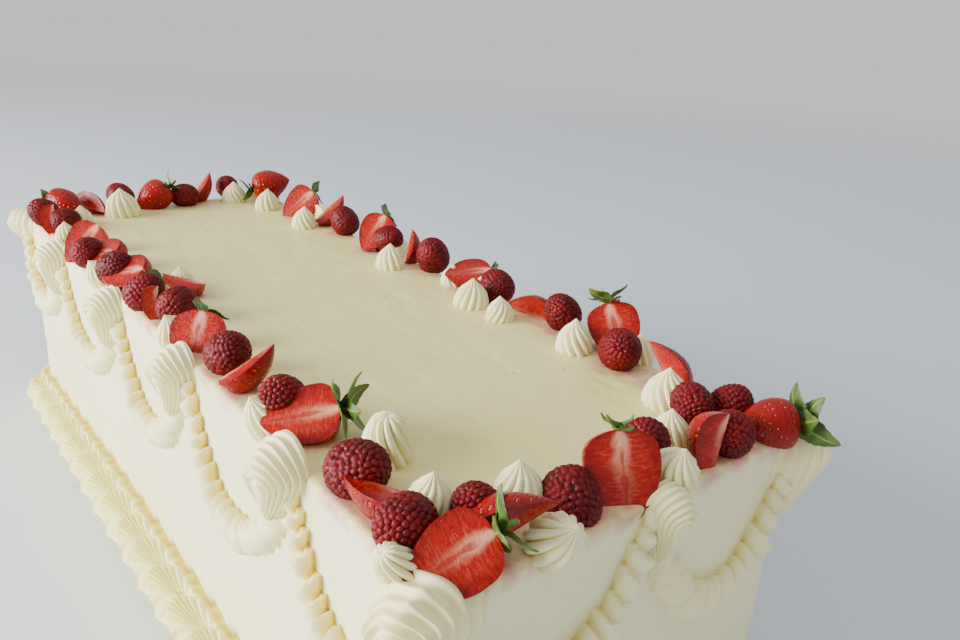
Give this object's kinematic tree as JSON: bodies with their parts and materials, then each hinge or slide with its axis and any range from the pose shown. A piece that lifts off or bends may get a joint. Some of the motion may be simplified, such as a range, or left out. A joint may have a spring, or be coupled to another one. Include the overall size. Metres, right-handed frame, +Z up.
{
  "type": "sheet cake",
  "caption": "Long ivory buttercream sheet cake with piped swags round its sides, a shell border at its foot, and a ring of cut strawberries, raspberries and piped stars on top.",
  "frame": {"origin": "middle of the bounding box in plan, at the underside", "axes": "+X along the cake's length, +Y across it, +Z up"},
  "size_m": [0.5878, 0.2419, 0.1815],
  "materials": {
    "cream": "soft ivory buttercream, matt with a faint sheen",
    "raspberry": "dark red berry skin, moist",
    "strawberry": "bright red fruit with a moist, paler cut face and green leaves"
  },
  "bodies": {
    "root": {"cake": "cream", "border": "cream", "piping_left": "cream", "piping_right": "cream", "piping_near": "cream", "piping_far": "cream", "raspberry_01": "raspberry", "raspberry_02": "raspberry", "raspberry_03": "raspberry", "raspberry_04": "raspberry", "raspberry_05": "raspberry", "raspberry_06": "raspberry", "raspberry_07": "raspberry", "raspberry_08": "raspberry", "raspberry_09": "raspberry", "raspberry_10": "raspberry", "raspberry_11": "raspberry", "raspberry_12": "raspberry", "raspberry_13": "raspberry", "raspberry_14": "raspberry", "raspberry_15": "raspberry", "raspberry_16": "raspberry", "raspberry_17": "raspberry", "raspberry_18": "raspberry", "raspberry_19": "raspberry", "raspberry_20": "raspberry", "raspberry_21": "raspberry", "raspberry_22": "raspberry", "raspberry_23": "raspberry", "raspberry_24": "raspberry", "raspberry_25": "raspberry", "raspberry_26": "raspberry", "strawberry_01": "strawberry", "strawberry_02": "strawberry", "strawberry_03": "strawberry", "strawberry_04": "strawberry", "strawberry_05": "strawberry", "strawberry_06": "strawberry", "strawberry_07": "strawberry", "strawberry_08": "strawberry", "strawberry_09": "strawberry", "strawberry_10": "strawberry", "strawberry_11": "strawberry", "strawberry_12": "strawberry", "strawberry_13": "strawberry", "strawberry_14": "strawberry", "strawberry_15": "strawberry", "strawberry_16": "strawberry", "strawberry_17": "strawberry", "strawberry_18": "strawberry", "strawberry_19": "strawberry", "strawberry_20": "strawberry", "strawberry_21": "strawberry", "strawberry_22": "strawberry", "strawberry_23": "strawberry", "strawberry_24": "strawberry", "strawberry_25": "strawberry", "strawberry_26": "strawberry", "strawberry_27": "strawberry", "strawberry_28": "strawberry"}
  },
  "joints": []
}
